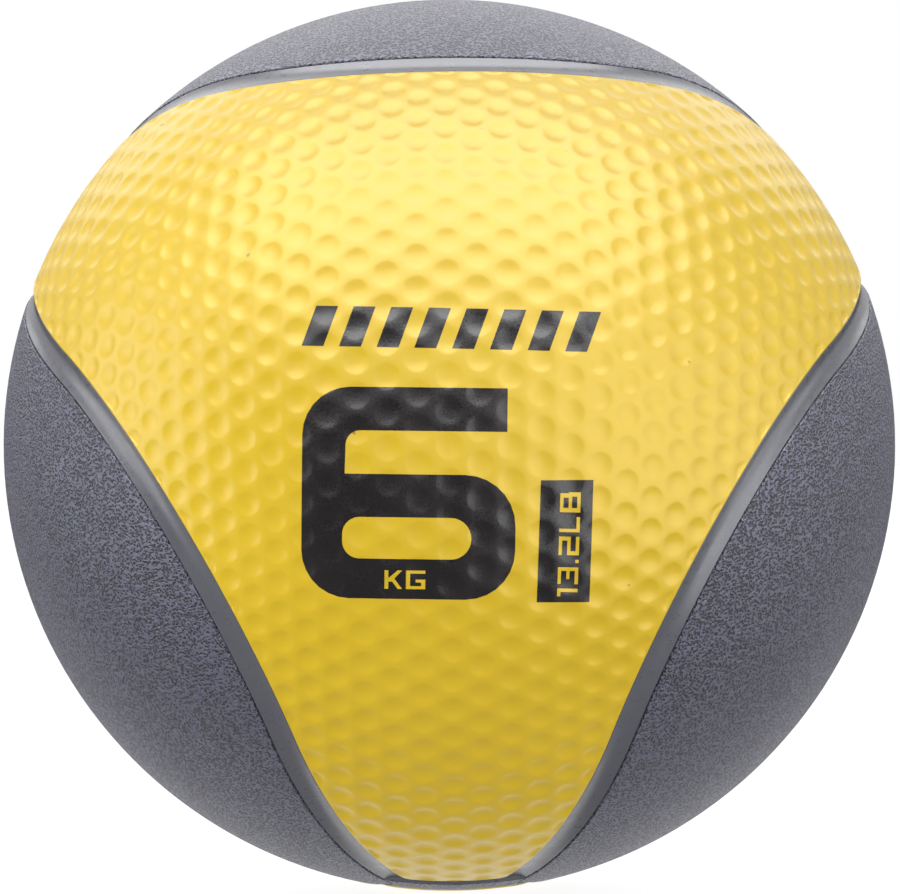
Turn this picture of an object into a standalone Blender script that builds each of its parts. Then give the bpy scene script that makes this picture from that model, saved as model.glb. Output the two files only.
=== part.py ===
"""Medicine ball: a hollow, air-filled rubber ball with a two-colour moulded cover.

Metres, +Z up, origin at the ball's centre.  The cover is laid out on a sphere with
three-fold symmetry: two three-armed panels face front (-Y) and rear (+Y), three round
grip pads sit between their arms, and a recessed channel runs along every seam.
The layout frame has the front panel's middle at exactly -Y.  The ball rests tilted
back, so everything is parented to an empty that turns the layout about X.
"""
import math

import bmesh
import bpy
from mathutils import Matrix, Vector

# Layers, from the outside in (metres).
BALL_RADIUS = 0.120
COVER_THICKNESS = 0.005
CHANNEL_DEPTH = 0.0012
CARCASS_THICKNESS = 0.0197
WINDING_THICKNESS = 0.0012
BLADDER_THICKNESS = 0.0020
GAP = 0.0003

# Layout of the cover (degrees on the sphere).
LOBES = 3
SIDE_RADIUS = 44.0      # angular radius of the round side of a panel
SIDE_LEAN = 5.5         # the side's centre lies this far from the equator, towards the panel
SIDE_ARC = 44.5         # half-angle of the round stretch; past it the side runs straight
TIP_LATITUDE = 4.3      # where an arm's blunt tip stops short of the equator
CHANNEL_WIDTH = 3.3     # between the panel's edge and the grip pad's edge
REST_TILT = 12.5        # the front panel looks up by this much as the ball rests

# Valve, on the axis of the rear panel (metres).
NECK_RADIUS = 0.0050
NECK_END = 0.1193
FLANGE_RADIUS = 0.0120
FLANGE_THICKNESS = 0.0015
FLANGE_FACE = 0.0899
PATCH_RADIUS = 0.0150
BORE_RADIUS = 0.0020
PLUG_START = 0.1000
PLUG_END = 0.1189
NEEDLE_RADIUS = 0.0006
NEEDLE_DEPTH = 0.0030
CUTTER_START = 0.080
CUTTER_LENGTH = 0.050

# Facets.
SEGMENTS = 36
VALVE_SEGMENTS = 24
SNAP = 1e-5

FRONT_POLE = Vector((0.0, -1.0, 0.0))
HALF_GAP = math.degrees(0.5 * GAP / BALL_RADIUS)


def direction(azimuth, latitude):
    """Unit vector at an azimuth from the top and a latitude towards the front, in degrees."""
    a = math.radians(azimuth)
    b = math.radians(latitude)
    return Vector((math.sin(a) * math.cos(b), -math.sin(b), math.cos(a) * math.cos(b)))


SIDE_CENTRE = direction(0.0, SIDE_LEAN)


def straight_side_pole():
    """Pole of the great circle that touches the round side where its straight run starts.

    The pole is on the grip pad's side of that great circle.
    """
    radius = math.radians(SIDE_RADIUS)
    arc = math.radians(SIDE_ARC)
    to_pole = (FRONT_POLE - SIDE_CENTRE * SIDE_CENTRE.dot(FRONT_POLE)).normalized()
    outward = to_pole * math.cos(arc) + Vector((1.0, 0.0, 0.0)) * math.sin(arc)
    return SIDE_CENTRE * math.sin(radius) - outward * math.cos(radius)


STRAIGHT_POLE = straight_side_pole()
# Normal of the plane through the side's centre and the start of the straight run.
ARC_END_NORMAL = STRAIGHT_POLE.cross(SIDE_CENTRE).normalized()


def on_round_side(point):
    """True where the nearest stretch of a panel's side is its round one."""
    return ARC_END_NORMAL.dot(point) < 0.0


def side_distance(point):
    """Degrees from the panel's side to a point, positive on the panel."""
    unit = point.normalized()
    if on_round_side(unit):
        return math.degrees(unit.angle(SIDE_CENTRE)) - SIDE_RADIUS
    return math.degrees(unit.angle(STRAIGHT_POLE)) - 90.0


def latitude_of(point):
    return 90.0 - math.degrees(point.angle(FRONT_POLE))


def trim(bm, normal):
    """Cut away what lies on the positive side of a plane through the ball's centre."""
    geometry = bm.verts[:] + bm.edges[:] + bm.faces[:]
    bmesh.ops.bisect_plane(bm, geom=geometry, plane_co=(0, 0, 0), plane_no=normal,
                           dist=SNAP, clear_outer=True)


def score(bm, faces, centre, angle):
    """Cut faces along the circle at an angle (degrees) from a centre and keep both sides.

    The new vertices are moved onto the exact circle on the sphere.
    """
    spread = math.radians(angle)
    edges = {edge for face in faces for edge in face.edges}
    verts = {vert for face in faces for vert in face.verts}
    geometry = list(verts) + list(edges) + list(faces)
    cut = bmesh.ops.bisect_plane(bm, geom=geometry, plane_no=centre, dist=SNAP,
                                 plane_co=centre * BALL_RADIUS * math.cos(spread))
    for vert in cut["geom_cut"]:
        if isinstance(vert, bmesh.types.BMVert):
            sideways = (vert.co - centre * centre.dot(vert.co)).normalized()
            unit = centre * math.cos(spread) + sideways * math.sin(spread)
            vert.co = unit * BALL_RADIUS


def seam_wedge():
    """One twelfth of the sphere, scored along every seam of the cover.

    It runs from the top pad's middle to the middle of the next arm, and from the
    equator to the front pole.
    """
    bm = bmesh.new()
    bmesh.ops.create_uvsphere(bm, u_segments=SEGMENTS, v_segments=SEGMENTS // 2,
                              radius=BALL_RADIUS, matrix=Matrix.Rotation(math.pi / 2, 4, "X"))
    half_lobe = math.radians(180.0 / LOBES)
    trim(bm, Vector((-1.0, 0.0, 0.0)))
    trim(bm, Vector((0.0, 1.0, 0.0)))
    trim(bm, Vector((math.cos(half_lobe), 0.0, -math.sin(half_lobe))))
    score(bm, bm.faces[:], ARC_END_NORMAL, 90.0)
    seams = (HALF_GAP, -HALF_GAP, HALF_GAP - CHANNEL_WIDTH, -HALF_GAP - CHANNEL_WIDTH)
    for offset in seams:
        faces = [f for f in bm.faces if on_round_side(f.calc_center_median())]
        score(bm, faces, SIDE_CENTRE, SIDE_RADIUS + offset)
        faces = [f for f in bm.faces if not on_round_side(f.calc_center_median())]
        score(bm, faces, STRAIGHT_POLE, 90.0 + offset)
    for offset in (HALF_GAP, -HALF_GAP):
        faces = [f for f in bm.faces if side_distance(f.calc_center_median()) > -0.5]
        score(bm, faces, FRONT_POLE, 90.0 - TIP_LATITUDE - offset)
    faces = [f for f in bm.faces if side_distance(f.calc_center_median()) > -CHANNEL_WIDTH]
    score(bm, faces, FRONT_POLE, 90.0 - HALF_GAP)
    bmesh.ops.remove_doubles(bm, verts=bm.verts[:], dist=SNAP)
    bmesh.ops.dissolve_degenerate(bm, edges=bm.edges[:], dist=SNAP)
    return bm


def is_panel(point):
    return side_distance(point) > HALF_GAP and latitude_of(point) > TIP_LATITUDE + HALF_GAP


def is_channel(point):
    beside = -CHANNEL_WIDTH + HALF_GAP < side_distance(point)
    past_tip = side_distance(point) < -HALF_GAP or latitude_of(point) < TIP_LATITUDE - HALF_GAP
    return beside and past_tip and latitude_of(point) > HALF_GAP


def is_pad(point):
    return side_distance(point) < -CHANNEL_WIDTH - HALF_GAP


def wedge_copies(lobes, ends):
    """The transforms that lay the wedge around the ball, for these lobes and ends."""
    copies = []
    for lobe in lobes:
        turn = Matrix.Rotation(math.radians(360.0 * lobe / LOBES), 4, "Y")
        for end in ends:
            for side in (1.0, -1.0):
                copies.append(turn @ Matrix.Diagonal((side, end, 1.0, 1.0)))
    return copies


def finish_shell(bm, inner_scale):
    """Give an open patch of the sphere its thickness, towards the ball's centre."""
    bmesh.ops.remove_doubles(bm, verts=bm.verts[:], dist=SNAP)
    layer = bmesh.ops.extrude_face_region(bm, geom=bm.faces[:], use_keep_orig=True)
    inner = [v for v in layer["geom"] if isinstance(v, bmesh.types.BMVert)]
    bmesh.ops.scale(bm, vec=(inner_scale,) * 3, verts=inner)
    bmesh.ops.recalc_face_normals(bm, faces=bm.faces[:])


def cover_shell(wedge, belongs, copies, outer, thickness):
    """Join copies of the wedge's faces that belong to a piece into one curved shell."""
    source = wedge.copy()
    strays = [f for f in source.faces if not belongs(f.calc_center_median())]
    bmesh.ops.delete(source, geom=strays, context="FACES")
    corner = bpy.data.meshes.new("corner")
    source.to_mesh(corner)
    source.free()
    bm = bmesh.new()
    for matrix in copies:
        known = len(bm.verts)
        bm.from_mesh(corner)
        bm.verts.ensure_lookup_table()
        bmesh.ops.transform(bm, matrix=matrix, verts=bm.verts[known:])
    bpy.data.meshes.remove(corner)
    bmesh.ops.scale(bm, vec=(outer / BALL_RADIUS,) * 3, verts=bm.verts[:])
    finish_shell(bm, (outer - thickness) / outer)
    return bm


def layer_shell(outer, thickness, end=0):
    """A layer under the cover: the whole sphere, or one half of it at an end (-1 or 1)."""
    bm = bmesh.new()
    bmesh.ops.create_uvsphere(bm, u_segments=SEGMENTS, v_segments=SEGMENTS // 2,
                              radius=outer, matrix=Matrix.Rotation(math.pi / 2, 4, "X"))
    if end:
        geometry = bm.verts[:] + bm.edges[:] + bm.faces[:]
        bmesh.ops.bisect_plane(bm, geom=geometry, plane_co=(0, end * GAP / 2, 0), dist=SNAP,
                               plane_no=(0, -end, 0), clear_outer=True)
        finish_shell(bm, (outer - thickness) / outer)
        return bm
    inner = bm.copy()
    bmesh.ops.scale(inner, vec=((outer - thickness) / outer,) * 3, verts=inner.verts[:])
    bmesh.ops.reverse_faces(inner, faces=inner.faces[:])
    liner = bpy.data.meshes.new("liner")
    inner.to_mesh(liner)
    inner.free()
    bm.from_mesh(liner)
    bpy.data.meshes.remove(liner)
    return bm


def material(name, colour, roughness):
    mat = bpy.data.materials.new(name)
    mat.use_nodes = True
    shader = mat.node_tree.nodes["Principled BSDF"]
    shader.inputs["Base Color"].default_value = (*colour, 1.0)
    shader.inputs["Roughness"].default_value = roughness
    shader.inputs["Metallic"].default_value = 0.0
    return mat


def add_object(name, mesh, mat, collection):
    obj = bpy.data.objects.new(name, mesh)
    obj.parent = rest_frame
    if mat:
        mesh.materials.append(mat)
    collection.objects.link(obj)
    mesh.shade_smooth()
    mesh.set_sharp_from_angle(angle=math.radians(30.0))
    return obj


def add_shell(name, bm, mat):
    mesh = bpy.data.meshes.new(name)
    bm.to_mesh(mesh)
    bm.free()
    return add_object(name, mesh, mat, parts)


def add_turned(name, profile, mat):
    """Turn a closed profile of (radius, distance from the ball's centre) about the valve's axis."""
    bm = bmesh.new()
    points = [bm.verts.new((radius, 0.0, height)) for radius, height in profile]
    for start, end in zip(points, points[1:] + points[:1]):
        bm.edges.new((start, end))
    mesh = bpy.data.meshes.new(name)
    bm.to_mesh(mesh)
    bm.free()
    obj = add_object(name, mesh, mat, parts)
    obj.rotation_euler = (-math.pi / 2, 0.0, 0.0)
    screw = obj.modifiers.new("turn", "SCREW")
    screw.axis = "Z"
    screw.steps = VALVE_SEGMENTS
    screw.render_steps = VALVE_SEGMENTS
    screw.use_merge_vertices = True
    screw.merge_threshold = SNAP
    return obj


def add_cutter(name, radius):
    """A cylinder on the valve's axis, from inside the bladder to outside the cover."""
    bm = bmesh.new()
    bmesh.ops.create_cone(bm, cap_ends=True, segments=VALVE_SEGMENTS, radius1=radius,
                          radius2=radius, depth=CUTTER_LENGTH)
    mesh = bpy.data.meshes.new(name)
    bm.to_mesh(mesh)
    bm.free()
    obj = add_object(name, mesh, None, cutters)
    obj.rotation_euler = (-math.pi / 2, 0.0, 0.0)
    obj.location = (0.0, CUTTER_START + CUTTER_LENGTH / 2, 0.0)
    obj.hide_render = True
    obj.display_type = "WIRE"
    return obj


def cut_with(obj, cutter, operation="DIFFERENCE"):
    boolean = obj.modifiers.new(cutter.name, "BOOLEAN")
    boolean.operation = operation
    boolean.solver = "EXACT"
    boolean.object = cutter


for leftover in list(bpy.data.objects):
    bpy.data.objects.remove(leftover)
parts = bpy.data.collections.new("medicine_ball")
cutters = bpy.data.collections.new("cutters")
bpy.context.scene.collection.children.link(parts)
bpy.context.scene.collection.children.link(cutters)

rest_frame = bpy.data.objects.new("rest_frame", None)
rest_frame.rotation_euler = (math.radians(-REST_TILT), 0.0, 0.0)
parts.objects.link(rest_frame)

panel_rubber = material("panel_rubber", (0.84, 0.60, 0.075), 0.42)
channel_rubber = material("channel_rubber", (0.115, 0.120, 0.145), 0.38)
pad_rubber = material("pad_rubber", (0.110, 0.115, 0.140), 0.62)
carcass_rubber = material("carcass_rubber", (0.030, 0.030, 0.032), 0.70)
nylon_thread = material("nylon_thread", (0.75, 0.73, 0.68), 0.55)
bladder_rubber = material("bladder_rubber", (0.020, 0.020, 0.022), 0.45)
valve_rubber = material("valve_rubber", (0.035, 0.035, 0.038), 0.50)

# Cover: panels, channels and pads cut from one scored wedge.
cover = seam_wedge()
every_lobe = range(LOBES)
for end_name, end in (("front", 1.0), ("rear", -1.0)):
    around = wedge_copies(every_lobe, (end,))
    panel = cover_shell(cover, is_panel, around, BALL_RADIUS, COVER_THICKNESS)
    add_shell(end_name + "_panel", panel, panel_rubber)
    channel = cover_shell(cover, is_channel, around, BALL_RADIUS - CHANNEL_DEPTH,
                          COVER_THICKNESS - CHANNEL_DEPTH)
    add_shell(end_name + "_channel", channel, channel_rubber)
for lobe, pad_name in enumerate(("top_grip_pad", "right_grip_pad", "left_grip_pad")):
    pad = cover_shell(cover, is_pad, wedge_copies((lobe,), (1.0, -1.0)), BALL_RADIUS,
                      COVER_THICKNESS)
    add_shell(pad_name, pad, pad_rubber)
cover.free()

# Carcass: two heavy half shells that meet at the ball's mid plane.
carcass_radius = BALL_RADIUS - COVER_THICKNESS - GAP
for end_name, end in (("front", -1), ("rear", 1)):
    half = layer_shell(carcass_radius, CARCASS_THICKNESS, end)
    add_shell(end_name + "_carcass", half, carcass_rubber)

# Winding and bladder, with a reinforcing patch let into the winding around the valve.
winding_radius = carcass_radius - CARCASS_THICKNESS - GAP
bladder_radius = winding_radius - WINDING_THICKNESS - GAP
winding = add_shell("thread_winding", layer_shell(winding_radius, WINDING_THICKNESS), nylon_thread)
patch = add_shell("valve_patch", layer_shell(winding_radius, WINDING_THICKNESS), bladder_rubber)
bladder = add_shell("bladder", layer_shell(bladder_radius, BLADDER_THICKNESS), bladder_rubber)

# Valve: a flanged housing that reaches the cover, and the plug a pump needle goes through.
flange_back = FLANGE_FACE - FLANGE_THICKNESS
add_turned("valve_housing", (
    (BORE_RADIUS, NECK_END), (NECK_RADIUS, NECK_END), (NECK_RADIUS, FLANGE_FACE),
    (FLANGE_RADIUS, FLANGE_FACE), (FLANGE_RADIUS, flange_back), (BORE_RADIUS, flange_back),
), valve_rubber)
plug_radius = BORE_RADIUS - GAP
needle_end = PLUG_END - NEEDLE_DEPTH
plug_profile = bmesh.new()
bmesh.ops.create_cone(plug_profile, cap_ends=True, segments=VALVE_SEGMENTS, radius1=plug_radius,
                      radius2=plug_radius, depth=PLUG_END - PLUG_START)
plug = add_shell("valve_plug", plug_profile, valve_rubber)
plug.rotation_euler = (-math.pi / 2, 0.0, 0.0)
plug.location = (0.0, (PLUG_START + PLUG_END) / 2, 0.0)

neck_cutter = add_cutter("neck_cutter", NECK_RADIUS + GAP)
patch_cutter = add_cutter("patch_cutter", PATCH_RADIUS + GAP)
patch_blank = add_cutter("patch_blank", PATCH_RADIUS)
needle_cutter = add_cutter("needle_cutter", NEEDLE_RADIUS)
needle_cutter.location = (0.0, needle_end + CUTTER_LENGTH / 2, 0.0)
for pierced in ("rear_panel", "rear_carcass"):
    cut_with(bpy.data.objects[pierced], neck_cutter)
cut_with(bladder, neck_cutter)
cut_with(winding, patch_cutter)
cut_with(patch, patch_blank, "INTERSECT")
cut_with(patch, neck_cutter)
cut_with(plug, needle_cutter)
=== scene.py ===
"""Medicine ball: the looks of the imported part, built around its frame.

Metres, +Z up, the ball's centre at the origin and the front panel towards -Y.
"""
import math

import bmesh
import bpy
import numpy as np
from mathutils import Matrix, Vector


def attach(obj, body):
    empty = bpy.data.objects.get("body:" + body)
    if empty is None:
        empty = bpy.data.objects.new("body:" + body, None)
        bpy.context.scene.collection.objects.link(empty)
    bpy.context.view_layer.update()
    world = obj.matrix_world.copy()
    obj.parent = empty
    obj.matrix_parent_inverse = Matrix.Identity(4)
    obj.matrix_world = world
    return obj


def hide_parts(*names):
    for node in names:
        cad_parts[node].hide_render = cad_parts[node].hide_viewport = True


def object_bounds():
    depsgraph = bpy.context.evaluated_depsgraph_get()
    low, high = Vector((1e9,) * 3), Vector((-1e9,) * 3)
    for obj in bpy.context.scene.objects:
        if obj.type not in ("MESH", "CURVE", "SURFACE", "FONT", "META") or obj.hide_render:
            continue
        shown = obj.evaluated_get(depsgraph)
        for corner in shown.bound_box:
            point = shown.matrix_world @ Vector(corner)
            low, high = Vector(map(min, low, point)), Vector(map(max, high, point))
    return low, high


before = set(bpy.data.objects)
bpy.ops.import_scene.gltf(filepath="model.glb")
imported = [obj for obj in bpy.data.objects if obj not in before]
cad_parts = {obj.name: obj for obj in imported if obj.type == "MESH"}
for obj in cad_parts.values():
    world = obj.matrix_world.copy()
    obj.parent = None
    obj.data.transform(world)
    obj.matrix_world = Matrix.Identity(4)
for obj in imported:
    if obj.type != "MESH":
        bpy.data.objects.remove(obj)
cad_low, cad_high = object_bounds()


# --- Yellow cover panels -------------------------------------------------------------
# Two three-armed sheets of yellow rubber, one in front and one behind, pressed with round
# dimples in a triangular lattice. Each is moulded over the carcass with a rolled edge, and
# the rear one has a hole for the valve in its middle.
BALL_RADIUS = min(cad_high - cad_low) / 2
PANEL_DROP = 0.1            # mm below the ball's largest radius, which leaves room for the ink
COVER_INSIDE = BALL_RADIUS - 0.0049
LOBES = 3
SIDE_RADIUS = 44.0          # degrees on the ball, as the next five
SIDE_LEAN = 5.5             # the round side's centre lies this far in front of the mid plane
SIDE_ARC = 44.5             # half-angle of the round stretch; past it the side runs straight
TIP_LATITUDE = 4.3          # where an arm's blunt tip stops short of the mid plane
CORNER_RADIUS = 1.2
CHANNEL_WIDTH = 3.3
REST_TURN = Matrix.Rotation(math.radians(-12.5), 4, "X")    # the ball rests tilted back
SEAM_GAP = 0.15             # mm from a seam's line to the edge of either piece
MERGE = 2e-6                # metres; cuts and joins take points this close for one
FRONT_POLE = Vector((0, -1, 0))
TO_MM = 1000 * math.radians(1) * BALL_RADIUS        # millimetres in a degree of the surface


def direction(azimuth, latitude):
    """Unit vector at an azimuth from the top and a latitude towards the front, in degrees."""
    a = math.radians(azimuth)
    b = math.radians(latitude)
    return Vector((math.sin(a) * math.cos(b), -math.sin(b), math.cos(a) * math.cos(b)))


def crossing(first, first_angle, second, second_angle):
    """Unit vector that lies at given angles (degrees) from two poles, on the +X side."""
    along = first.dot(second)
    a = math.cos(math.radians(first_angle))
    b = math.cos(math.radians(second_angle))
    flat = (first * (a - along * b) + second * (b - along * a)) / (1 - along * along)
    rise = first.cross(second).normalized() * math.sqrt(1 - flat.length_squared)
    return max(flat + rise, flat - rise, key=lambda point: point.x)


def facing(normal, towards):
    """The unit vector along a normal, turned round if need be so that it points this way."""
    return normal.normalized() * math.copysign(1, normal.dot(towards))


SIDE_CENTRE = direction(0, SIDE_LEAN)
towards_pole = (FRONT_POLE - SIDE_CENTRE * SIDE_CENTRE.dot(FRONT_POLE)).normalized()
outward = (towards_pole * math.cos(math.radians(SIDE_ARC))
           + Vector((1, 0, 0)) * math.sin(math.radians(SIDE_ARC)))
STRAIGHT_POLE = (SIDE_CENTRE * math.sin(math.radians(SIDE_RADIUS))
                 - outward * math.cos(math.radians(SIDE_RADIUS)))
CORNER_CENTRE = crossing(STRAIGHT_POLE, 90 + CORNER_RADIUS,
                         FRONT_POLE, 90 - TIP_LATITUDE - CORNER_RADIUS)
# Planes where one stretch of the outline hands over to the next, each towards the arm's tip.
ARC_END = STRAIGHT_POLE.cross(SIDE_CENTRE).normalized()
CORNER_START = facing(STRAIGHT_POLE.cross(CORNER_CENTRE), -FRONT_POLE)
CORNER_END = facing(FRONT_POLE.cross(CORNER_CENTRE), direction(60, 0))
# The stretches of a panel's outline: a circle's centre and radius, and 1 where the panel is
# outside that circle or -1 where it is inside.
ROUND, STRAIGHT, CORNER, TIP = range(4)
STRETCHES = ((SIDE_CENTRE, SIDE_RADIUS, 1), (STRAIGHT_POLE, 90, 1),
             (CORNER_CENTRE, CORNER_RADIUS, -1), (FRONT_POLE, 90 - TIP_LATITUDE, -1))


def unit_rows(points):
    points = np.asarray(points, dtype=float).reshape(-1, 3)
    return points / np.linalg.norm(points, axis=1)[:, None]


def inside_stretch(units, stretch):
    """Millimetres from one stretch's circle, positive on the panel's side."""
    centre, radius, sign = STRETCHES[stretch]
    angle = np.degrees(np.arccos(np.clip(units @ np.array(centre), -1, 1)))
    return sign * (angle - radius) * TO_MM


def side_distance(units):
    """Millimetres from the long side of a panel, positive towards the panel."""
    is_round = units @ np.array(ARC_END) < 0
    return np.where(is_round, inside_stretch(units, ROUND), inside_stretch(units, STRAIGHT))


def nearest_stretch(units):
    """The stretch of the outline that each point is nearest to, and how far inside it that is."""
    side = side_distance(units)
    tip = inside_stretch(units, TIP)
    in_corner = (units @ np.array(CORNER_START) > 0) & (units @ np.array(CORNER_END) < 0)
    in_corner &= units @ np.array(ARC_END) > 0
    which = np.where(units @ np.array(ARC_END) < 0, ROUND, STRAIGHT)
    which = np.where(tip < side, TIP, which)
    which = np.where(in_corner, CORNER, which)
    inside = np.where(in_corner, inside_stretch(units, CORNER), np.minimum(side, tip))
    return which, inside


def edit_alone(piece):
    """Open a piece in edit mode, with nothing else selected."""
    bpy.ops.object.select_all(action="DESELECT")
    piece.select_set(True)
    bpy.context.view_layer.objects.active = piece
    bpy.ops.object.mode_set(mode="EDIT")
    bpy.ops.mesh.select_all(action="SELECT")


def select_faces(piece, wanted):
    """In edit mode, select faces by their middles, as unit rows, and say how many they are."""
    bpy.ops.mesh.select_mode(type="FACE")
    bpy.ops.mesh.select_all(action="DESELECT")
    bm = bmesh.from_edit_mesh(piece.data)
    chosen = wanted(unit_rows([face.calc_center_median() for face in bm.faces]))
    for face, choice in zip(bm.faces, chosen):
        face.select_set(bool(choice))
    bmesh.update_edit_mesh(piece.data)
    return int(chosen.sum())


def score(piece, wanted, centre, degrees):
    """Cut the wanted faces along a circle about a centre and set the cut exactly on it."""
    if not select_faces(piece, wanted):
        return
    spread = math.radians(degrees)
    bpy.ops.mesh.bisect(plane_co=centre * BALL_RADIUS * math.cos(spread), plane_no=centre,
                        threshold=MERGE)
    bm = bmesh.from_edit_mesh(piece.data)
    for vert in bm.verts:
        if vert.select:
            sideways = (vert.co - centre * centre.dot(vert.co)).normalized()
            exact = centre * math.cos(spread) + sideways * math.sin(spread)
            vert.co = exact * vert.co.length
    bmesh.update_edit_mesh(piece.data)


def score_outline(piece, inside_mm, reach_mm=4.0):
    """Cut a line that follows a panel's outline at a distance inside it (negative is outside)."""
    for stretch, (centre, radius, sign) in enumerate(STRETCHES):
        degrees = radius + sign * inside_mm / TO_MM
        if degrees <= 0:
            continue

        def near(units):
            which, inside = nearest_stretch(units)
            return (which == stretch) & (abs(inside - inside_mm) < reach_mm)
        score(piece, near, centre, degrees)


def drop_faces(piece, unwanted):
    if select_faces(piece, unwanted):
        bpy.ops.mesh.delete(type="FACE")


def set_heights(piece, heights):
    """Move each vertex in or out, to the ball's radius plus a height in millimetres."""
    mesh = piece.data
    flat = np.empty(len(mesh.vertices) * 3)
    mesh.vertices.foreach_get("co", flat)
    units = unit_rows(flat)
    radii = BALL_RADIUS + heights(units) / 1000
    mesh.vertices.foreach_set("co", (units * radii[:, None]).ravel())
    mesh.update()


def smooth_step(value, start, end):
    part = np.clip((value - start) / (end - start), 0, 1)
    return part * part * (3 - 2 * part)


def rolled(distance, radius):
    """How far a rolled edge falls away at a distance (mm) from the piece's end."""
    left = np.clip(radius - distance, 0, radius)
    return radius - np.sqrt(radius * radius - left * left)


INNER_DETAIL = 0.2          # of the outer face's triangles, kept in the middle of the inner one


def drop_to_inside(piece):
    """In edit mode, set the selected vertices on the cover's inside."""
    bm = bmesh.from_edit_mesh(piece.data)
    for vert in bm.verts:
        if vert.select:
            vert.co = vert.co.normalized() * COVER_INSIDE
    bmesh.update_edit_mesh(piece.data)


def close_shell(piece, mirrors):
    """Give an open wedge of the cover a plainer inner face, and walls where it isn't mirrored."""
    edit_alone(piece)
    bpy.ops.mesh.duplicate()
    bpy.ops.mesh.flip_normals()
    drop_to_inside(piece)
    bpy.ops.mesh.select_mode(type="VERT")
    bm = bmesh.from_edit_mesh(piece.data)
    for vert in bm.verts:
        if vert.is_boundary:
            vert.select_set(False)
    bm.select_flush_mode()
    bmesh.update_edit_mesh(piece.data)
    bpy.ops.mesh.decimate(ratio=INNER_DETAIL)
    drop_to_inside(piece)
    bpy.ops.mesh.select_mode(type="EDGE")
    bpy.ops.mesh.select_all(action="DESELECT")
    bm = bmesh.from_edit_mesh(piece.data)
    for edge in bm.edges:
        outer = all(vert.co.length > COVER_INSIDE + 0.0005 for vert in edge.verts)
        mirrored = any(all(abs(vert.co.dot(normal)) < 2 * MERGE for vert in edge.verts)
                       for normal in mirrors)
        edge.select_set(edge.is_boundary and outer and not mirrored)
    bmesh.update_edit_mesh(piece.data)
    bpy.ops.mesh.extrude_edges_move()
    drop_to_inside(piece)
    bpy.ops.mesh.select_all(action="SELECT")
    bpy.ops.mesh.remove_doubles(threshold=2 * MERGE)
    bpy.ops.object.mode_set(mode="OBJECT")


def mirrored(piece, *axes):
    """Join a piece to its mirror images across planes through the ball's centre."""
    mirror = piece.modifiers.new("mirror", "MIRROR")
    for axis in range(3):
        mirror.use_axis[axis] = axis in axes
    mirror.merge_threshold = 3 * MERGE
    bpy.ops.object.select_all(action="DESELECT")
    piece.select_set(True)
    bpy.context.view_layer.objects.active = piece
    bpy.ops.object.modifier_apply(modifier=mirror.name)


def turned_copies(piece):
    """Repeat one lobe of a piece around the panel's axis and join them."""
    edit_alone(piece)
    for _ in range(LOBES - 1):
        bpy.ops.mesh.duplicate()
        bpy.ops.transform.rotate(value=math.radians(360 / LOBES), orient_axis="Y",
                                 center_override=(0, 0, 0))
    bpy.ops.mesh.select_all(action="SELECT")
    bpy.ops.mesh.remove_doubles(threshold=3 * MERGE)
    bpy.ops.object.mode_set(mode="OBJECT")


def copy_of(piece, name):
    copied = piece.copy()
    copied.data = piece.data.copy()
    copied.name = name
    bpy.context.collection.objects.link(copied)
    return copied


def finish_piece(piece, name, material, slot, *nodes):
    """Close a piece's shading, lay it at the ball's rest angle and hand it to the frame."""
    edit_alone(piece)
    bpy.ops.mesh.normals_make_consistent(inside=False)
    bpy.ops.object.mode_set(mode="OBJECT")
    bpy.ops.object.shade_smooth_by_angle(angle=math.radians(50))
    piece.data.transform(REST_TURN)
    piece.name = name
    piece.data.name = name
    piece.data.materials.clear()
    piece.data.materials.append(material)
    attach(piece, "root")
    if nodes:
        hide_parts(*nodes)


class Shade:
    """A shader value: Python arithmetic on it adds Math nodes, and node() adds any other."""

    def __init__(self, tree, socket=None):
        self.tree = tree
        self.socket = socket

    def node(self, kind, settings, sockets, output=0):
        """Add a node: its type, its own settings, its sockets' values or links, its output."""
        made = self.tree.nodes.new("ShaderNode" + kind)
        for name, value in settings.items():
            setattr(made, name, value)
        for name, value in sockets.items():
            if isinstance(value, Shade):
                self.tree.links.new(value.socket, made.inputs[name])
            else:
                made.inputs[name].default_value = value
        return Shade(self.tree, made.outputs[output])

    def math(self, operation, *values):
        return self.node("Math", {"operation": operation}, dict(enumerate(values)))

    def __add__(self, other):
        return self.math("ADD", self, other)

    def __sub__(self, other):
        return self.math("SUBTRACT", self, other)

    def __rsub__(self, other):
        return self.math("SUBTRACT", other, self)

    def __mul__(self, other):
        return self.math("MULTIPLY", self, other)

    __radd__ = __add__
    __rmul__ = __mul__

    def between(self, low, high):
        """0 below low, 1 above high, smooth between."""
        return self.node("MapRange", {"interpolation_type": "SMOOTHSTEP"},
                         {"Value": self, "From Min": low, "From Max": high})

    def place(self):
        """Where a point of the piece lies, in metres."""
        return self.node("TexCoord", {}, {}, "Object")

    def noise(self, scale, detail=2.0, roughness=0.5):
        return self.node("TexNoise", {}, {"Vector": self.place(), "Scale": scale,
                                          "Detail": detail, "Roughness": roughness})

    def mixed(self, first, second):
        """Mix two colours by this value."""
        return self.node("Mix", {"data_type": "RGBA"}, {0: self, 6: first, 7: second}, 2)

    def bump(self, depth, strength=1.0):
        """A surface that this value raises, by a depth in metres where it is 1."""
        return self.node("Bump", {}, {"Height": self, "Distance": depth, "Strength": strength})


def new_finish(name, **constants):
    """A new material, its tree as a Shade, and its shader; constants set the shader's sockets."""
    made = bpy.data.materials.new(name)
    made.use_nodes = True
    shader = made.node_tree.nodes["Principled BSDF"]
    for socket, value in constants.items():
        shader.inputs[socket.replace("_", " ")].default_value = value
    return made, Shade(made.node_tree), shader


def feed(shader, socket, value):
    value.tree.links.new(value.socket, shader.inputs[socket])


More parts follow.
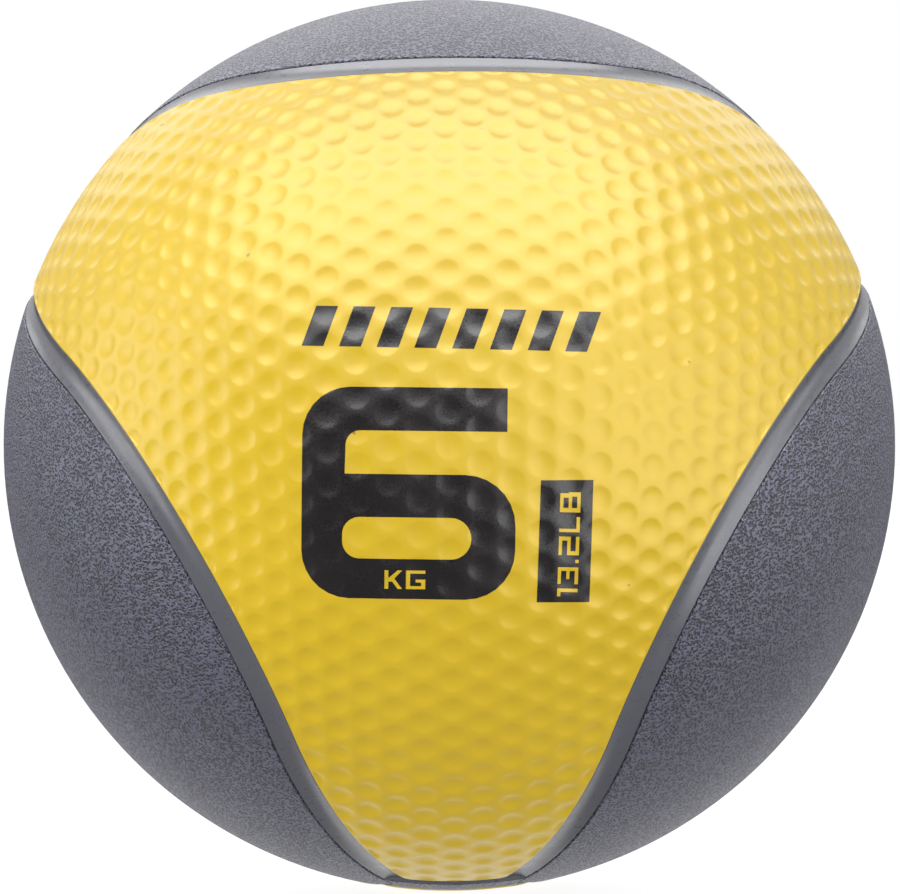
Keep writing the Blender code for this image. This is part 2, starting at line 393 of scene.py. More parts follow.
DIMPLE_SIDES = 18
DIMPLE_RADIUS = 0.40            # in steps of the lattice, as its rings
DIMPLE_RINGS = (0.17, 0.30, 0.375, 0.43)
DIMPLE_DEPTH = 0.57             # mm
RIM_SOFTNESS = 0.006            # how gently a dimple's rim turns over
EDGE_ROLL = 0.45                # mm
EDGE_ROWS = (0, 0.06, 0.17, 0.3, EDGE_ROLL, 0.75)       # mm in from the edge
STEPS_ALONG_ARM = 22
STEPS_TO_PAD = 12

# One dimple in its six-sided field, modelled flat: a step of the lattice is one unit across,
# and heights are in millimetres.
bpy.ops.object.select_all(action="DESELECT")
bpy.ops.mesh.primitive_circle_add(vertices=DIMPLE_SIDES, radius=DIMPLE_RINGS[0],
                                  fill_type="TRIFAN", rotation=(0, 0, math.radians(10)))
sheet = bpy.context.object
bpy.ops.object.transform_apply(rotation=True)
edit_alone(sheet)
bpy.ops.mesh.select_mode(type="EDGE")
for ring, next_ring in zip(DIMPLE_RINGS, DIMPLE_RINGS[1:] + (0.5,)):
    bpy.ops.mesh.select_all(action="DESELECT")
    bm = bmesh.from_edit_mesh(sheet.data)
    for edge in bm.edges:
        edge.select_set(edge.is_boundary)
    bmesh.update_edit_mesh(sheet.data)
    bpy.ops.mesh.extrude_edges_move()
    bpy.ops.transform.resize(value=(next_ring / ring, next_ring / ring, 1),
                             center_override=(0, 0, 0))
bm = bmesh.from_edit_mesh(sheet.data)
for vert in bm.verts:
    reach = vert.co.length
    if reach > DIMPLE_RINGS[-1] + 0.01:
        turn = math.degrees(math.atan2(vert.co.y, vert.co.x)) % 60 - 30
        vert.co *= 0.5 / math.cos(math.radians(turn)) / reach
    bowl = 1 - (reach / DIMPLE_RADIUS) ** 2
    if reach < 0.46:
        vert.co.z = -DIMPLE_DEPTH * 0.5 * (bowl + math.sqrt(bowl * bowl + RIM_SOFTNESS))
bmesh.update_edit_mesh(sheet.data)
bpy.ops.object.mode_set(mode="OBJECT")

# The lattice over a sixth of the panel, from the pad's middle line to the arm's.
COLUMN = math.sin(math.radians(60))
for count, step in ((STEPS_ALONG_ARM, (COLUMN, 0.5, 0)), (STEPS_TO_PAD, (0, 1, 0))):
    row = sheet.modifiers.new("row", "ARRAY")
    row.count = count
    row.use_relative_offset = False
    row.use_constant_offset = True
    row.constant_offset_displace = step
    row.use_merge_vertices = True
    row.merge_threshold = 0.002
    bpy.ops.object.modifier_apply(modifier=row.name)
edit_alone(sheet)
for corner, outer_side in (((0, 0, 0), (-1, 0, 0)), ((0, 0, 0), (0.5, -COLUMN, 0)),
                           ((0, 11.5, 0), (-0.17, 1, 0))):
    bpy.ops.mesh.select_all(action="SELECT")
    bpy.ops.mesh.bisect(plane_co=corner, plane_no=outer_side, clear_outer=True, threshold=1e-4)
bpy.ops.object.mode_set(mode="OBJECT")

# The flat sheet laid on the ball. Rows keep their pitch along an arm and bunch up towards the
# pads, by a stretch that is the same for every lobe.
flat = np.array([vert.co for vert in sheet.data.vertices])
lattice = flat[:, 1] - 1j * flat[:, 0]      # real towards the pad's middle
squared = abs(lattice) ** 2
folded = np.conj(lattice) ** 2
laid = (lattice * (4.225 - 8.44e-4 * squared - 3.28e-6 * squared ** 2
                   - 1.67e-4 * (lattice ** 3).real)
        + folded * (3.75e-3 + 6.31e-5 * squared))
from_pole = np.radians(abs(laid))
around = laid / np.maximum(abs(laid), 1e-9)
units = np.column_stack((-around.imag * np.sin(from_pole), -np.cos(from_pole),
                         around.real * np.sin(from_pole)))
sheet.data.vertices.foreach_set("co", (units * BALL_RADIUS).ravel())
pressed = sheet.data.attributes.new("pressed", "FLOAT", "POINT")
pressed.data.foreach_set("value", flat[:, 2])


def trim_to_panel(sheet, hole_mm):
    """Cut the dimpled sheet to the panel's outline, with close rows where the edge rolls over."""
    edit_alone(sheet)

    def near_outline(units):
        return abs(nearest_stretch(units)[1]) < 8
    for handover in (ARC_END, CORNER_START, CORNER_END):
        score(sheet, near_outline, handover, 90)
    for row in EDGE_ROWS:
        score_outline(sheet, SEAM_GAP + row)
        if hole_mm:
            def near_hole(units):
                return units @ np.array(FRONT_POLE) > 0.98
            score(sheet, near_hole, FRONT_POLE, (hole_mm + row) / TO_MM)
    drop_faces(sheet, lambda units: nearest_stretch(units)[1] < SEAM_GAP)
    if hole_mm:
        limit = math.cos(math.radians(hole_mm / TO_MM))
        drop_faces(sheet, lambda units: units @ np.array(FRONT_POLE) > limit)
    bpy.ops.object.mode_set(mode="OBJECT")

    pressed = np.empty(len(sheet.data.vertices))
    sheet.data.attributes["pressed"].data.foreach_get("value", pressed)
    sheet.data.attributes.remove(sheet.data.attributes["pressed"])

    def heights(units):
        inside = nearest_stretch(units)[1] - SEAM_GAP
        if hole_mm:
            from_pole = np.degrees(np.arccos(np.clip(units @ np.array(FRONT_POLE), -1, 1)))
            inside = np.minimum(inside, from_pole * TO_MM - hole_mm)
        faded = pressed * smooth_step(inside, EDGE_ROLL, 1.0)
        return faded - PANEL_DROP - rolled(inside, EDGE_ROLL)
    set_heights(sheet, heights)


ARM_MIRRORS = (Vector((1, 0, 0)), Vector((0.5, 0, -COLUMN)))
NECK_HOLE = 5.3             # mm, radius of the hole for the valve in the rear panel
panel_yellow, look, shader = new_finish("yellow_rubber", IOR=1.5)
mottle = look.noise(14, 3).between(0.3, 0.7)
fine = look.noise(900, 2)
marks = look.noise(210, 1).between(0.80, 0.83)
body_colour = mottle.mixed((0.69, 0.464, 0.010, 1), (0.73, 0.496, 0.016, 1))
feed(shader, "Base Color", marks.mixed(body_colour, (0.35, 0.22, 0.03, 1)))
feed(shader, "Roughness", fine.between(0, 1) * 0.12 + 0.29)
feed(shader, "Normal", fine.bump(0.00002, 0.6))

for node, hole in (("front_panel", 0), ("rear_panel", NECK_HOLE)):
    panel = copy_of(sheet, node + "_skin")
    trim_to_panel(panel, hole)
    close_shell(panel, ARM_MIRRORS)
    mirrored(panel, 0)
    turned_copies(panel)
    if node == "rear_panel":
        panel.data.transform(Matrix.Diagonal((1, -1, 1, 1)))
    finish_piece(panel, panel.name, panel_yellow, "panel_rubber", node)
bpy.data.objects.remove(sheet)


# --- Print on the front panel ----------------------------------------------------------
# Black ink laid on the moulded panel by a soft pad, so it follows every dimple: the weight
# in kilograms, a bar with the same weight in pounds left clear of ink, and a row of bars.
INK_LIFT = 0.05             # mm above the panel
INK_FILM = 0.04             # mm thick
CORNER_STEPS = 7
ORIGIN_SIX = (-10.4, -12.2)     # millimetres across and up from the ball's middle, as the rest
ORIGIN_ROW = (0.9, 28.8)
PRINT_TURN = -1.4               # degrees, of the six and its letters


def placed_flat(points, origin, degrees):
    """Artwork points turned by an angle about their own origin and moved to it."""
    turn = math.radians(degrees)
    return [(origin[0] + x * math.cos(turn) - y * math.sin(turn),
             origin[1] + x * math.sin(turn) + y * math.cos(turn)) for x, y in points]


def rounded_outline(corners):
    """Points of an outline whose corners (x, y, radius) are rounded by arcs."""
    points = []
    for before, corner, after in zip(corners[-1:] + corners, corners, corners[1:] + corners[:1]):
        middle = Vector(corner[:2])
        radius = corner[2]
        if not radius:
            points.append(tuple(middle))
            continue
        back = (Vector(before[:2]) - middle).normalized()
        onward = (Vector(after[:2]) - middle).normalized()
        half = back.angle(onward) / 2
        centre = middle + (back + onward).normalized() * radius / math.sin(half)
        start = middle + back * radius / math.tan(half) - centre
        sweep = start.angle_signed(middle + onward * radius / math.tan(half) - centre)
        for step in range(CORNER_STEPS + 1):
            angle = -sweep * step / CORNER_STEPS
            point = centre + Matrix.Rotation(angle, 2) @ start
            points.append(tuple(point))
    return points


SIX = rounded_outline([(24.3, 26.6, 0), (-26.2, 26.6, 11.9), (-26.2, -25.6, 11.9),
                       (26.6, -25.6, 12.2), (26.6, 5.2, 12.6), (-15.6, 5.2, 0),
                       (-15.4, 15.9, 3.6), (24.3, 15.9, 0)])
SIX_EYE = rounded_outline([(-16.1, -15.7, 4.3), (-16.1, -5.4, 4.3), (15.8, -5.4, 5.1),
                           (15.8, -15.7, 5.1)])
POUNDS_BAR = [(22.4, -8.9), (35.4, -9.0), (34.2, -39.3), (21.1, -39.1)]
ROW_BARS = 8
ROW_STEP = 9.3
ROW_BAR = ((1.0, -5.0), (-4.4, -5.0), (-1.0, 5.0), (4.4, 5.0))
PATCH_HALF = 44             # mm to each side of the ball's middle that any ink reaches


# Strokes of the plain letters and figures, as outlines on a field one wide and one high.
UPRIGHT = 0.22              # how wide an upright stroke is, and how high a level one
LEVEL = 0.17


def box(left, low, right, top):
    return ((left, low), (right, low), (right, top), (left, top))


STEM = box(0, 0, UPRIGHT, 1)
TOP = box(0, 1 - LEVEL, 1, 1)
MIDDLE = box(0, 0.5 - LEVEL / 2, 1, 0.5 + LEVEL / 2)
FOOT = box(0, 0, 1, LEVEL)
LETTERS = {
    "1": (box(1 - 2 * UPRIGHT, 0, 1, 1), box(0, 1 - LEVEL, 1, 1)),
    "2": (TOP, box(1 - UPRIGHT, 0.5, 1, 1), MIDDLE, box(0, 0, UPRIGHT, 0.5), FOOT),
    "3": (TOP, box(1 - UPRIGHT, 0, 1, 1), box(0.3, 0.42, 1, 0.58), FOOT),
    ".": (box(0, 0, 1, LEVEL),),
    "L": (STEM, FOOT),
    "B": (STEM, box(0, 1 - LEVEL, 0.94, 1), MIDDLE, FOOT, box(1 - UPRIGHT, 0, 1, 0.5),
          box(0.94 - UPRIGHT, 0.5, 0.94, 1)),
    "K": (STEM, ((UPRIGHT, 0.38), (0.38, 0.38), (1, 1), (0.74, 1), (UPRIGHT, 0.58)),
          ((0.34, 0.5), (0.74, 0), (1, 0), (0.5, 0.62))),
    "G": (STEM, TOP, FOOT, box(1 - UPRIGHT, 0, 1, 0.52), box(0.5, 0.36, 1, 0.52)),
}


def clear_strokes(text, height, widths, spacing, origin, degrees):
    """Outlines of a word's strokes, from its lower left corner."""
    outlines = []
    across = 0
    for letter, width in zip(text, widths):
        for stroke in LETTERS[letter]:
            placed = [(across + x * width, y * height) for x, y in stroke]
            outlines.append(placed_flat(placed, origin, degrees))
        across += width + spacing
    return outlines


KILOGRAMS = clear_strokes("KG", 4.65, (4.4, 4.8), 0.9, (-16.5, -35.2), PRINT_TURN)
POUNDS = clear_strokes("13.2LB", 5.1, (2.0, 4.2, 0.8, 4.6, 3.8, 5.0), 1.1, (31.2, -37.9), 87.6)


def inside_outline(points, outline):
    """Which points (rows of across and up) an outline encloses."""
    x, y = points.T
    odd = np.zeros(len(points), bool)
    for (x0, y0), (x1, y1) in zip(outline, outline[1:] + outline[:1]):
        if y0 != y1:
            crosses = (y0 > y) != (y1 > y)
            odd ^= crosses & (x < (x1 - x0) * (y - y0) / (y1 - y0) + x0)
    return odd


def near_line(points, start, end, reach_mm):
    start = np.array(start)
    along = np.array(end) - start
    part = np.clip((points - start) @ along / (along @ along), 0, 1)
    return np.linalg.norm(points - start - part[:, None] * along, axis=1) < reach_mm


def select_printed(piece, wanted):
    """In edit mode, select faces by their middles, seen from the front (mm) and in full (m)."""
    bpy.ops.mesh.select_mode(type="FACE")
    bpy.ops.mesh.select_all(action="DESELECT")
    bm = bmesh.from_edit_mesh(piece.data)
    middles = np.array([face.calc_center_median() for face in bm.faces])
    for face, choice in zip(bm.faces, wanted(middles[:, (0, 2)] * 1000, middles)):
        face.select_set(bool(choice))
    bmesh.update_edit_mesh(piece.data)


def figure_film(patch, outlines, clear_outlines=()):
    """The part of the patch inside an uneven number of outlines and in none of the clear ones."""
    film = copy_of(patch, "film")
    edit_alone(film)
    low = np.min(outlines[0], axis=0) - 2
    high = np.max(outlines[0], axis=0) + 2
    select_printed(film, lambda seen, _: np.any((seen < low) | (seen > high), axis=1))
    bpy.ops.mesh.delete(type="FACE")
    for outline in list(outlines) + list(clear_outlines):
        for start, end in zip(outline, outline[1:] + outline[:1]):
            select_printed(film, lambda seen, _: near_line(seen, start, end, 1.6))
            along = Vector((end[0] - start[0], 0, end[1] - start[1])).normalized()
            bpy.ops.mesh.bisect(plane_co=(start[0] / 1000, 0, start[1] / 1000),
                                plane_no=(-along.z, 0, along.x), threshold=MERGE)

    def bare(seen, _):
        inked = np.zeros(len(seen), bool)
        for outline in outlines:
            inked ^= inside_outline(seen, outline)
        for outline in clear_outlines:
            inked &= ~inside_outline(seen, outline)
        return ~inked
    select_printed(film, bare)
    bpy.ops.mesh.delete(type="FACE")
    bpy.ops.object.mode_set(mode="OBJECT")
    return film


patch = copy_of(bpy.data.objects["front_panel_skin"], "patch")
edit_alone(patch)
select_printed(patch, lambda seen, middles: (np.linalg.norm(middles, axis=1) < BALL_RADIUS - 0.002)
               | (middles[:, 1] > 0) | np.any(abs(seen) > PATCH_HALF, axis=1))
bpy.ops.mesh.delete(type="FACE")
bpy.ops.object.mode_set(mode="OBJECT")
six_lines = [placed_flat(line, ORIGIN_SIX, PRINT_TURN) for line in (SIX, SIX_EYE)]
films = [figure_film(patch, six_lines, KILOGRAMS), figure_film(patch, (POUNDS_BAR,), POUNDS)]
for place in range(ROW_BARS):
    shift = (place - (ROW_BARS - 1) / 2) * ROW_STEP
    bar = [(shift + x, y) for x, y in ROW_BAR]
    films.append(figure_film(patch, (placed_flat(bar, ORIGIN_ROW, -2.0),)))
bpy.data.objects.remove(patch)
bpy.ops.object.select_all(action="DESELECT")
for film in films:
    film.select_set(True)
ink = films[0]
bpy.context.view_layer.objects.active = ink
bpy.ops.object.join()
ink.name = "weight_print"
for vert in ink.data.vertices:
    vert.co *= 1 + INK_LIFT / 1000 / BALL_RADIUS
body = ink.modifiers.new("body", "SOLIDIFY")
body.thickness = INK_FILM / 1000
bpy.context.view_layer.objects.active = ink
bpy.ops.object.modifier_apply(modifier=body.name)
bpy.ops.object.shade_smooth_by_angle(angle=math.radians(50))
ink.data.name = ink.name

ink_black, look, shader = new_finish("black_ink", IOR=1.5)
speckle = look.noise(1900, 2, 0.6)
cloud = look.noise(60, 3).between(0.35, 0.65)
feed(shader, "Base Color", cloud.mixed((0.0060, 0.0040, 0.0048, 1), (0.0095, 0.0070, 0.0080, 1)))
feed(shader, "Roughness", speckle.between(0.3, 0.7) * 0.14 + cloud * 0.05 + 0.24)
feed(shader, "Normal", speckle.bump(0.00006, 0.8))
ink.data.materials.clear()
ink.data.materials.append(ink_black)
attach(ink, "root")


# --- Channels between the panels and the pads -----------------------------------------
# A smooth strip of grey rubber along each seam, hollowed along its middle, with a rounded
# lip on either side. It is moulded with the carcass and runs on between the arms' tips,
# where it stands up into a grained rim.
PAD_DROP = 0.04             # mm from the ball's largest radius down to the pads
LIP_AT_PANEL = 0.60         # mm below the pads' surface, as the next two
LIP_AT_PAD = 0.22
HOLLOW = 0.85
LIP_ROLL = 0.28
MID_GAP = 0.1               # from the mid plane, where the front strip meets the rear one
RIM_LATITUDE = 2.3          # degrees; nearer the mid plane the strip stands up flush with the pads
RIM_RISE = 0.35             # mm over which it comes up
CHANNEL_MM = CHANNEL_WIDTH * TO_MM
STRIP_ROWS = (0, 0.05, 0.12, 0.2, LIP_ROLL, 0.8, 1.4, 2.0, 2.7, 3.4)    # mm in from either lip
RIM_ROWS = (-0.2, 0, 0.1, 0.2, RIM_RISE)        # mm in front of the rim
SPARE = 6                   # mm of the wedge left around the strip while it is cut


def ball_wedge(name, degrees):
    """A sixth of half the ball, from the pad's middle line to the arm's, in a fine grid."""
    segments = round(360 / degrees)
    bpy.ops.object.select_all(action="DESELECT")
    bpy.ops.mesh.primitive_uv_sphere_add(segments=segments, ring_count=segments // 2,
                                         radius=BALL_RADIUS, rotation=(math.pi / 2, 0, 0))
    wedge = bpy.context.object
    wedge.name = name
    bpy.ops.object.transform_apply(rotation=True)
    edit_alone(wedge)
    for outer_side in ((-1, 0, 0), (0, 1, 0), (0.5, 0, -COLUMN)):
        bpy.ops.mesh.select_all(action="SELECT")
        bpy.ops.mesh.bisect(plane_co=(0, 0, 0), plane_no=outer_side, clear_outer=True,
                            threshold=MERGE)
    bpy.ops.object.mode_set(mode="OBJECT")
    return wedge


def score_side(piece, inside_mm, reach_mm=3.0):
    """Cut a line along a panel's long side, on past the tip to the mid plane."""
    for stretch, on_it in ((ROUND, lambda units: units @ np.array(ARC_END) < 0),
                           (STRAIGHT, lambda units: units @ np.array(ARC_END) >= 0)):
        centre, radius, sign = STRETCHES[stretch]

        def near(units):
            return on_it(units) & (abs(side_distance(units) - inside_mm) < reach_mm)
        score(piece, near, centre, radius + sign * inside_mm / TO_MM)


strip = ball_wedge("strip", 1.5)
edit_alone(strip)
drop_faces(strip, lambda units: (nearest_stretch(units)[1] > SPARE)
           | (side_distance(units) < -CHANNEL_MM - SPARE))
select_faces(strip, lambda units: units @ np.array(CORNER_CENTRE) > math.cos(math.radians(5)))
bpy.ops.mesh.subdivide(number_cuts=3)
for handover in (ARC_END, CORNER_START, CORNER_END):
    score(strip, lambda units: nearest_stretch(units)[1] > -9, handover, 90)
for row in STRIP_ROWS:
    score_outline(strip, -SEAM_GAP - row)
    score_side(strip, SEAM_GAP + row - CHANNEL_MM)
for row in RIM_ROWS:
    score(strip, lambda units: nearest_stretch(units)[1] < 0.5, FRONT_POLE,
          90 - RIM_LATITUDE - row / TO_MM)
score(strip, lambda units: np.ones(len(units), bool), FRONT_POLE, 90 - MID_GAP / TO_MM)
drop_faces(strip, lambda units: nearest_stretch(units)[1] > -SEAM_GAP)
drop_faces(strip, lambda units: side_distance(units) < SEAM_GAP - CHANNEL_MM)
drop_faces(strip, lambda units: units @ np.array(FRONT_POLE) < math.radians(MID_GAP / TO_MM))
bpy.ops.object.mode_set(mode="OBJECT")


def channel_heights(units):
    from_panel = -nearest_stretch(units)[1] - SEAM_GAP
    from_pad = side_distance(units) + CHANNEL_MM - SEAM_GAP
    # Between two arms' tips both panels' edges count.
    behind = -nearest_stretch(units * (1, -1, 1))[1] - SEAM_GAP
    both = (np.maximum(from_panel, 1e-6) ** -4.0 + np.maximum(behind, 1e-6) ** -4.0) ** -0.25
    across = both / (both + np.maximum(from_pad, 0))
    surface = -LIP_AT_PANEL + (LIP_AT_PANEL - LIP_AT_PAD) * across
    surface = surface - HOLLOW * 4 * across * (1 - across)
    latitude = np.degrees(np.arcsin(units @ np.array(FRONT_POLE)))
    above_rim = (latitude - RIM_LATITUDE) * TO_MM
    surface = np.where(above_rim > 0, surface * smooth_step(above_rim, 0, RIM_RISE),
                       -rolled(-above_rim, 0.2)) - PAD_DROP
    return surface - rolled(from_panel, LIP_ROLL) - rolled(from_pad, LIP_ROLL)


set_heights(strip, channel_heights)

channel_grey, look, shader = new_finish("smooth_grey_rubber", IOR=1.5, Specular_IOR_Level=0.7)
cloud = look.noise(25, 3).between(0.3, 0.7)
streaks = look.noise(320, 4, 0.65)
feed(shader, "Base Color", cloud.mixed((0.088, 0.090, 0.108, 1), (0.104, 0.106, 0.126, 1)))
feed(shader, "Roughness", streaks.between(0.3, 0.7) * 0.10 + 0.26)
feed(shader, "Normal", streaks.bump(0.00002, 0.5))

close_shell(strip, ARM_MIRRORS)
mirrored(strip, 0)
turned_copies(strip)
for node, end in (("front_channel", 1), ("rear_channel", -1)):
    channel = copy_of(strip, node + "_strip")
    channel.data.transform(Matrix.Diagonal((1, end, 1, 1)))
    finish_piece(channel, channel.name, channel_grey, "channel_rubber", node)
bpy.data.objects.remove(strip)


# --- Grip pads --------------------------------------------------------------------------
# Three round pads of grey rubber between the panels' arms, with a fine leather grain from
# the mould. They wrap over the mid plane and end in a rolled edge along the channels.
PAD_ROLL = 0.30             # mm
PAD_ROWS = (0, 0.05, 0.12, 0.2, PAD_ROLL, 0.6, 1.2)     # mm in from the edge

pad_wedge = ball_wedge("pad_wedge", 2.0)
edit_alone(pad_wedge)
score(pad_wedge, lambda units: abs(side_distance(units) + CHANNEL_MM) < 12, ARC_END, 90)
for row in PAD_ROWS:
    score_side(pad_wedge, -CHANNEL_MM - SEAM_GAP - row, 6.0)
drop_faces(pad_wedge, lambda units: side_distance(units) > -CHANNEL_MM - SEAM_GAP)
bpy.ops.object.mode_set(mode="OBJECT")
set_heights(pad_wedge, lambda units: -PAD_DROP
            - rolled(-side_distance(units) - CHANNEL_MM - SEAM_GAP, PAD_ROLL))

pad_grey, look, shader = new_finish("grained_grey_rubber", IOR=1.5, Specular_IOR_Level=0.8)
wobble = look.node("TexNoise", {}, {"Vector": look.place(), "Scale": 900, "Detail": 1.0}, "Color")
warped = look.node("Mix", {"data_type": "VECTOR"}, {0: 0.0008, 4: look.place(), 5: wobble}, 1)
cells = look.node("TexVoronoi", {"feature": "SMOOTH_F1"},
                  {"Vector": warped, "Scale": 1400, "Smoothness": 0.35, "Randomness": 1.0})
raised = cells.between(0.28, 0.62)      # 0 in the grain's pits
fine = look.noise(2600, 2)
wear = look.noise(9, 4, 0.6).between(0.35, 0.7)
# Painted shade: the grain's pits are coloured nearly black while its raised tops keep the rubber's
# grey, and the wear mix below varies that grey.
fresh_tone_and_pit_shade = raised.mixed((0.003, 0.003, 0.010, 1), (0.094, 0.097, 0.152, 1))
worn_tone_and_pit_shade = raised.mixed((0.005, 0.006, 0.014, 1), (0.112, 0.115, 0.175, 1))
feed(shader, "Base Color", wear.mixed(fresh_tone_and_pit_shade, worn_tone_and_pit_shade))
feed(shader, "Roughness", fine.between(0.2, 0.8) * 0.2 + 0.38)
feed(shader, "Normal", (raised + fine * 0.3).bump(0.0007))

close_shell(pad_wedge, (Vector((1, 0, 0)), Vector((0, 1, 0))))
mirrored(pad_wedge, 0, 1)
for lobe, node in enumerate(("top_grip_pad", "right_grip_pad", "left_grip_pad")):
    pad = copy_of(pad_wedge, node + "_rubber")
    pad.data.transform(Matrix.Rotation(math.radians(360 / LOBES * lobe), 4, "Y"))
    finish_piece(pad, pad.name, pad_grey, "pad_rubber", node)
bpy.data.objects.remove(pad_wedge)

# The grain runs on over the strips' flush rims, between the arms' tips.
turned_pole = REST_TURN @ FRONT_POLE
for name in ("front_channel_strip", "rear_channel_strip"):
    strip_mesh = bpy.data.objects[name].data
    strip_mesh.materials.append(pad_grey)
    for face in strip_mesh.polygons:
        latitude = math.degrees(math.asin(abs(face.center.normalized().dot(turned_pole))))
        on_top = face.center.length > COVER_INSIDE + 0.004
        if on_top and latitude < RIM_LATITUDE:
            face.material_index = 1


# --- Inside layers ----------------------------------------------------------------------
# Carcass halves of heavy filled rubber, nylon thread wound over the bladder, the butyl
# bladder and its patch. They stay as the frame has them.
heavy_black, look, shader = new_finish("heavy_black_rubber")
crumb = look.node("TexVoronoi", {}, {"Vector": look.place(), "Scale": 500})
grit = crumb.between(0.1, 0.6)
feed(shader, "Base Color", grit.mixed((0.018, 0.018, 0.019, 1), (0.034, 0.034, 0.036, 1)))
feed(shader, "Roughness", crumb.between(0, 1) * 0.2 + 0.6)
feed(shader, "Normal", crumb.bump(0.0002, 0.5))

thread, look, shader = new_finish("wound_nylon_thread", Roughness=0.5)
wraps = look.node("TexWave", {"bands_direction": "DIAGONAL"},
                  {"Vector": look.place(), "Scale": 220, "Distortion": 3.0, "Detail": 2.0,
                   "Detail Scale": 0.4}, "Fac")
feed(shader, "Base Color", wraps.mixed((0.52, 0.50, 0.45, 1), (0.80, 0.78, 0.73, 1)))
feed(shader, "Normal", wraps.bump(0.0003, 0.8))

butyl, look, shader = new_finish("black_butyl_rubber")
bloom = look.noise(40, 4).between(0.35, 0.7)
feed(shader, "Base Color", bloom.mixed((0.016, 0.016, 0.018, 1), (0.030, 0.030, 0.032, 1)))
feed(shader, "Roughness", bloom * 0.15 + 0.38)

for node, material in (("front_carcass", heavy_black), ("rear_carcass", heavy_black),
                       ("thread_winding", thread), ("bladder", butyl), ("valve_patch", butyl)):
    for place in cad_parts[node].material_slots:
        place.material = material


# --- Valve ------------------------------------------------------------------------------
# A flanged tube of soft black rubber from the bladder to the cover, and the plug inside it
# that a pump needle goes through. Both are turned shapes.
valve_black, look, shader = new_finish("soft_black_rubber")
dust = look.noise(300, 4, 0.6).between(0.4, 0.75)
feed(shader, "Base Color", dust.mixed((0.022, 0.022, 0.024, 1), (0.050, 0.049, 0.050, 1)))
feed(shader, "Roughness", dust * 0.2 + 0.42)
feed(shader, "Normal", dust.bump(0.00004, 0.6))

TURNED_STEPS = 48
# Radius and distance from the ball's middle along each piece's profile, in millimetres.
HOUSING_PROFILE = ((2.0, 119.0), (2.35, 119.3), (4.1, 119.3), (4.6, 119.15), (5.0, 118.7),
                   (5.0, 90.4), (5.5, 89.9), (11.6, 89.9), (12.0, 89.5), (12.0, 88.8),
                   (11.6, 88.4), (2.0, 88.4))
PLUG_PROFILE = ((0.35, 116.4), (0.4, 118.2), (0.9, 118.65), (1.35, 118.7), (1.6, 118.5),
                (1.7, 118.2), (1.7, 100.4), (1.4, 100.1), (0.0, 100.1), (0.0, 116.4))
for node, profile in (("valve_housing", HOUSING_PROFILE), ("valve_plug", PLUG_PROFILE)):
    bpy.ops.object.select_all(action="DESELECT")
    bpy.ops.mesh.primitive_circle_add(vertices=len(profile), radius=0.01)
    turned = bpy.context.object
    for vert, (radius, height) in zip(turned.data.vertices, profile):
        vert.co = (radius / 1000, height / 1000, 0)
    edit_alone(turned)
    bpy.ops.mesh.spin(steps=TURNED_STEPS, angle=2 * math.pi, axis=(0, 1, 0), center=(0, 0, 0))
    bpy.ops.mesh.select_all(action="SELECT")
    bpy.ops.mesh.remove_doubles(threshold=MERGE)
    bpy.ops.mesh.delete_loose()
    bpy.ops.object.mode_set(mode="OBJECT")
    finish_piece(turned, node + "_rubber", valve_black, "valve_rubber", node)


# --- Room ---------------------------------------------------------------------------------
# A pale floor under the ball against white, wide light from above, below and in front, soft
# boxes that the rubber reflects, and the camera level with the ball's middle.
bpy.ops.object.select_all(action="DESELECT")
bpy.ops.mesh.primitive_plane_add(size=40, location=(0, 0, cad_low.z))
floor = bpy.context.object
floor.name = "floor"
pale, look, shader = new_finish("pale_floor", Roughness=0.7, Emission_Color=(1, 1, 1, 1),
                                Emission_Strength=0.93)
clouds = look.noise(0.8, 2).between(0.2, 0.8)
feed(shader, "Base Color", clouds.mixed((0.07, 0.07, 0.07, 1), (0.08, 0.08, 0.08, 1)))
floor.data.materials.append(pale)
floor.visible_diffuse = False
floor.visible_glossy = False
floor.visible_shadow = False

world = bpy.data.worlds.new("white_backdrop")
bpy.context.scene.world = world
world.use_nodes = True
world.node_tree.nodes["Background"].inputs["Color"].default_value = (1, 1, 1, 1)
world.cycles_visibility.diffuse = False
world.cycles_visibility.glossy = False


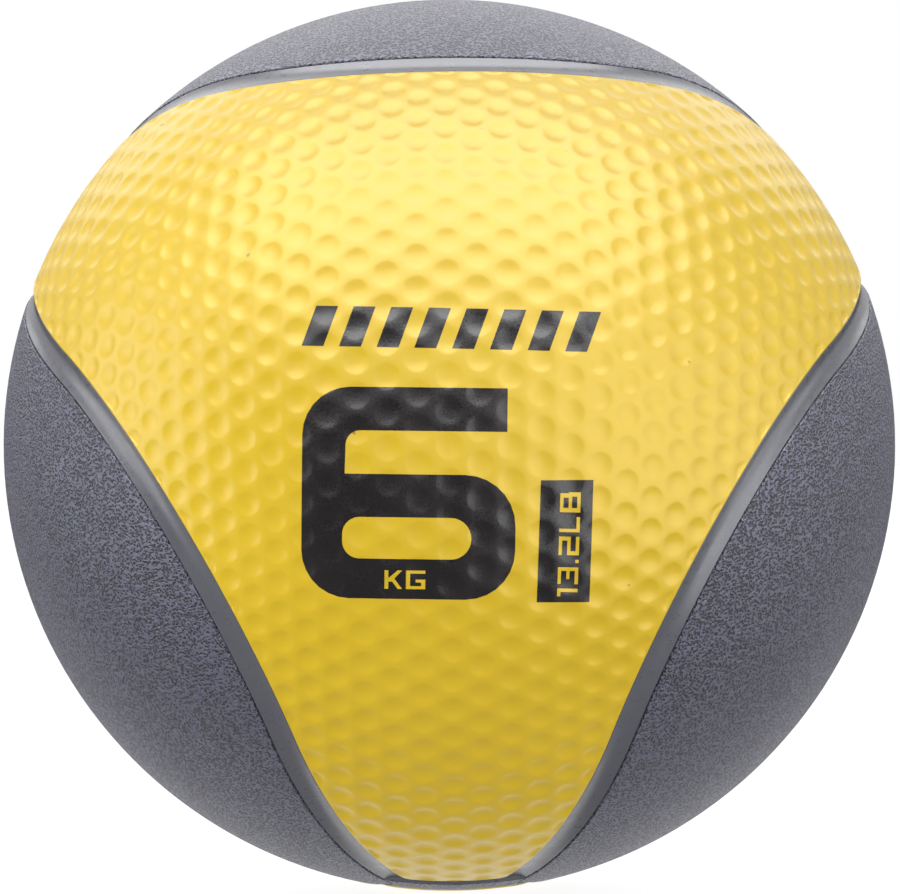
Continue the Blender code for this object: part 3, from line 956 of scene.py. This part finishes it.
def far_light(name, tilt, spread, energy):
    """A light from far off and this wide: tilt 0 is straight above, 90 in front, 180 below."""
    lamp = bpy.data.lights.new(name, "SUN")
    lamp.energy = energy
    lamp.angle = math.radians(spread)
    placed = bpy.data.objects.new(name, lamp)
    placed.rotation_euler = (math.radians(tilt), 0, 0)
    placed.visible_camera = False
    bpy.context.collection.objects.link(placed)
    return placed


def soft_light(name, azimuth, elevation, distance, width, height, power):
    """A soft box that faces the ball, placed by the angles it is seen at from the ball."""
    a = math.radians(azimuth)
    e = math.radians(elevation)
    away = Vector((math.sin(a) * math.cos(e), -math.cos(a) * math.cos(e), math.sin(e)))
    lamp = bpy.data.lights.new(name, "AREA")
    lamp.shape = "RECTANGLE"
    lamp.size = width
    lamp.size_y = height
    lamp.energy = power
    placed = bpy.data.objects.new(name, lamp)
    placed.location = away * distance
    placed.rotation_euler = away.to_track_quat("Z", "Y").to_euler()
    placed.visible_camera = False
    bpy.context.collection.objects.link(placed)
    return placed


# Wide lights for colour and shade; the floor's shine and the soft boxes are mostly reflections.
far_light("sky", 0, 170, 2.1)
far_light("floor_bounce", 180, 170, 1.35).visible_glossy = False
far_light("floor_shine", 180, 170, 1.05).visible_diffuse = False
far_light("key", 85, 50, 1.5).visible_glossy = False
soft_light("ceiling", 0, 68, 2.0, 4.2, 2.4, 205).visible_diffuse = False
soft_light("high_rear", 180, 46, 1.6, 3.0, 1.2, 20).visible_diffuse = False
soft_light("left_side", -85, 5, 1.5, 1.2, 1.1, 12)
soft_light("right_side", 84, 0, 1.5, 1.0, 1.0, 6)
soft_light("right_front", 45, -3, 1.5, 1.25, 1.3, 17).visible_diffuse = False
soft_light("low_rear", 180, -40, 1.5, 2.0, 1.5, 10).visible_diffuse = False

CAMERA_DISTANCE = 1.32
camera_data = bpy.data.cameras.new("camera")
camera_data.lens = 195.6
camera_data.sensor_width = 36
camera_data.shift_x = 0.0007
camera_data.shift_y = -0.0019
camera_data.clip_start = 0.05
camera = bpy.data.objects.new("camera", camera_data)
camera.location = (0, -CAMERA_DISTANCE, 0)
camera.rotation_euler = (math.pi / 2, math.radians(0.74), 0)
bpy.context.collection.objects.link(camera)
bpy.context.scene.camera = camera
bpy.context.scene.view_settings.view_transform = "Standard"
